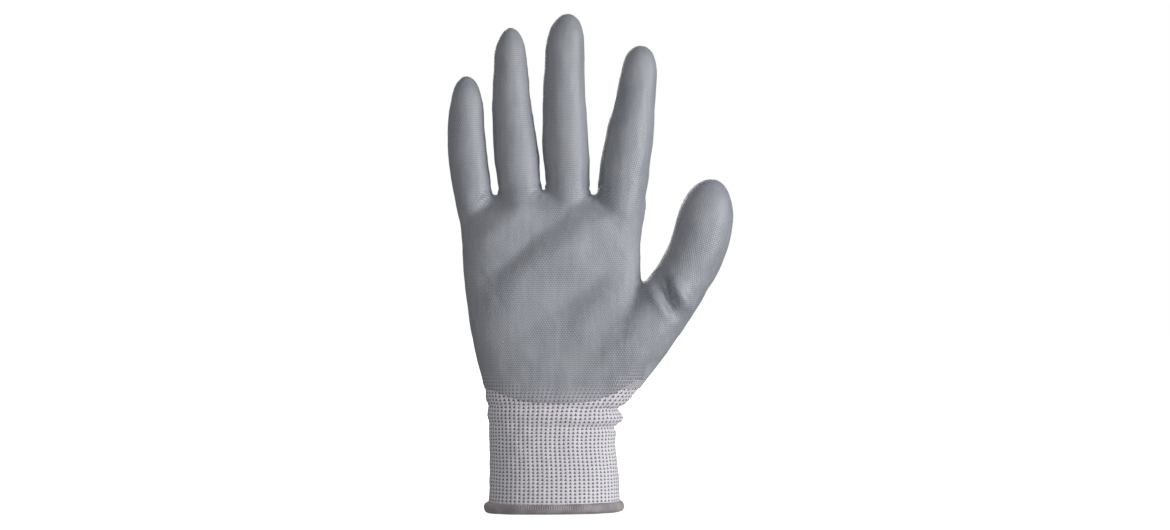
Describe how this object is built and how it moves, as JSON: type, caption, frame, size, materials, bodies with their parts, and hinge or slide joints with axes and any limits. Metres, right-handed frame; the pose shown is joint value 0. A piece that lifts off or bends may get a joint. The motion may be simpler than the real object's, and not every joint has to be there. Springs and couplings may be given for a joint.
{
  "type": "work glove",
  "caption": "Right-hand knitted work glove with a dipped grip coating on palm and fingertips, ribbed elastic cuff and overedged hem, jointed at wrist, fingers and thumb.",
  "frame": {"origin": "centre of the hem's lower face, at the mouth of the cuff", "axes": "+Z along the hand towards the fingertips, palm side faces -Y, thumb towards +X"},
  "size_m": [0.1416, 0.0472, 0.2494],
  "materials": {
    "coating": "satin",
    "hand_knit": "matte",
    "cuff_knit": "matte",
    "elastic_yarn": "matte",
    "hem_thread": "matte"
  },
  "bodies": {
    "cuff": {"cuff_knit": "cuff_knit", "cuff_elastic": "elastic_yarn", "hem_binding": "hem_thread"},
    "palm": {"lower_palm_knit": "hand_knit", "lower_palm_coat": "coating", "upper_palm_knit": "hand_knit", "upper_palm_coat": "coating", "wrist_flex_knit": "hand_knit", "little_base_flex": "hand_knit", "ring_base_flex": "hand_knit", "middle_base_flex": "hand_knit", "index_base_flex": "hand_knit", "thumb_base_flex": "hand_knit"},
    "little_proximal": {"little_proximal_knit": "hand_knit", "little_proximal_coat": "coating", "little_middle_flex": "hand_knit"},
    "little_middle": {"little_middle_knit": "hand_knit", "little_middle_coat": "coating", "little_tip_flex": "hand_knit"},
    "little_distal": {"little_distal_knit": "hand_knit", "little_distal_coat": "coating"},
    "ring_proximal": {"ring_proximal_knit": "hand_knit", "ring_proximal_coat": "coating", "ring_middle_flex": "hand_knit"},
    "ring_middle": {"ring_middle_knit": "hand_knit", "ring_middle_coat": "coating", "ring_tip_flex": "hand_knit"},
    "ring_distal": {"ring_distal_knit": "hand_knit", "ring_distal_coat": "coating"},
    "middle_proximal": {"middle_proximal_knit": "hand_knit", "middle_proximal_coat": "coating", "middle_middle_flex": "hand_knit"},
    "middle_middle": {"middle_middle_knit": "hand_knit", "middle_middle_coat": "coating", "middle_tip_flex": "hand_knit"},
    "middle_distal": {"middle_distal_knit": "hand_knit", "middle_distal_coat": "coating"},
    "index_proximal": {"index_proximal_knit": "hand_knit", "index_proximal_coat": "coating", "index_middle_flex": "hand_knit"},
    "index_middle": {"index_middle_knit": "hand_knit", "index_middle_coat": "coating", "index_tip_flex": "hand_knit"},
    "index_distal": {"index_distal_knit": "hand_knit", "index_distal_coat": "coating"},
    "thumb_proximal": {"thumb_proximal_knit": "hand_knit", "thumb_proximal_coat": "coating", "thumb_tip_flex": "hand_knit"},
    "thumb_distal": {"thumb_distal_knit": "hand_knit", "thumb_distal_coat": "coating"}
  },
  "joints": [
    {"name": "wrist_bend", "type": "hinge", "parent": "cuff", "child": "palm", "pos_m": [0, 0, 0.05], "axis": [1, 0, 0], "range_deg": [-35, 35], "stiffness_Nm_per_rad": 0.35, "deforming": ["wrist_flex_knit"]},
    {"name": "little_base_bend", "type": "hinge", "parent": "palm", "child": "little_proximal", "pos_m": [-0.04084, -0.0036, 0.16699], "axis": [0.9984, 0, 0.0558], "range_deg": [-15, 55], "stiffness_Nm_per_rad": 0.018, "deforming": ["little_base_flex"]},
    {"name": "little_middle_bend", "type": "hinge", "parent": "little_proximal", "child": "little_middle", "pos_m": [-0.04184, -0.0036, 0.18496], "axis": [0.9984, 0, 0.0558], "range_deg": [0, 80], "stiffness_Nm_per_rad": 0.014, "deforming": ["little_middle_flex"]},
    {"name": "little_tip_bend", "type": "hinge", "parent": "little_middle", "child": "little_distal", "pos_m": [-0.04276, -0.0036, 0.20143], "axis": [0.9984, 0, 0.0558], "range_deg": [0, 40], "stiffness_Nm_per_rad": 0.009, "deforming": ["little_tip_flex"]},
    {"name": "ring_base_bend", "type": "hinge", "parent": "palm", "child": "ring_proximal", "pos_m": [-0.01779, -0.0036, 0.16698], "axis": [0.9979, 0, 0.0645], "range_deg": [-15, 55], "stiffness_Nm_per_rad": 0.018, "deforming": ["ring_base_flex"]},
    {"name": "ring_middle_bend", "type": "hinge", "parent": "ring_proximal", "child": "ring_middle", "pos_m": [-0.01946, -0.0036, 0.19293], "axis": [0.9979, 0, 0.0645], "range_deg": [0, 80], "stiffness_Nm_per_rad": 0.014, "deforming": ["ring_middle_flex"]},
    {"name": "ring_tip_bend", "type": "hinge", "parent": "ring_middle", "child": "ring_distal", "pos_m": [-0.02108, -0.0036, 0.21788], "axis": [0.9979, 0, 0.0645], "range_deg": [0, 40], "stiffness_Nm_per_rad": 0.009, "deforming": ["ring_tip_flex"]},
    {"name": "middle_base_bend", "type": "hinge", "parent": "palm", "child": "middle_proximal", "pos_m": [0.00697, -0.0036, 0.167], "axis": [1, 0, 0.0052], "range_deg": [-15, 55], "stiffness_Nm_per_rad": 0.018, "deforming": ["middle_base_flex"]},
    {"name": "middle_middle_bend", "type": "hinge", "parent": "middle_proximal", "child": "middle_middle", "pos_m": [0.00682, -0.0036, 0.195], "axis": [1, 0, 0.0052], "range_deg": [0, 80], "stiffness_Nm_per_rad": 0.014, "deforming": ["middle_middle_flex"]},
    {"name": "middle_tip_bend", "type": "hinge", "parent": "middle_middle", "child": "middle_distal", "pos_m": [0.00668, -0.0036, 0.222], "axis": [1, 0, 0.0052], "range_deg": [0, 40], "stiffness_Nm_per_rad": 0.009, "deforming": ["middle_tip_flex"]},
    {"name": "index_base_bend", "type": "hinge", "parent": "palm", "child": "index_proximal", "pos_m": [0.03583, -0.0036, 0.16694], "axis": [0.9905, 0, -0.1374], "range_deg": [-15, 55], "stiffness_Nm_per_rad": 0.018, "deforming": ["index_base_flex"]},
    {"name": "index_middle_bend", "type": "hinge", "parent": "index_proximal", "child": "index_middle", "pos_m": [0.03905, -0.0036, 0.19022], "axis": [0.9905, 0, -0.1374], "range_deg": [0, 80], "stiffness_Nm_per_rad": 0.014, "deforming": ["index_middle_flex"]},
    {"name": "index_tip_bend", "type": "hinge", "parent": "index_middle", "child": "index_distal", "pos_m": [0.04208, -0.0036, 0.21201], "axis": [0.9905, 0, -0.1374], "range_deg": [0, 40], "stiffness_Nm_per_rad": 0.009, "deforming": ["index_tip_flex"]},
    {"name": "thumb_base_bend", "type": "hinge", "parent": "palm", "child": "thumb_proximal", "pos_m": [0.0631, -0.00352, 0.12036], "axis": [0.9138, -0.2079, -0.3489], "range_deg": [-12, 35], "stiffness_Nm_per_rad": 0.03, "deforming": ["thumb_base_flex"]},
    {"name": "thumb_tip_bend", "type": "hinge", "parent": "thumb_proximal", "child": "thumb_distal", "pos_m": [0.07094, -0.00352, 0.14091], "axis": [0.9138, -0.2079, -0.3489], "range_deg": [0, 50], "stiffness_Nm_per_rad": 0.018, "deforming": ["thumb_tip_flex"]}
  ]
}
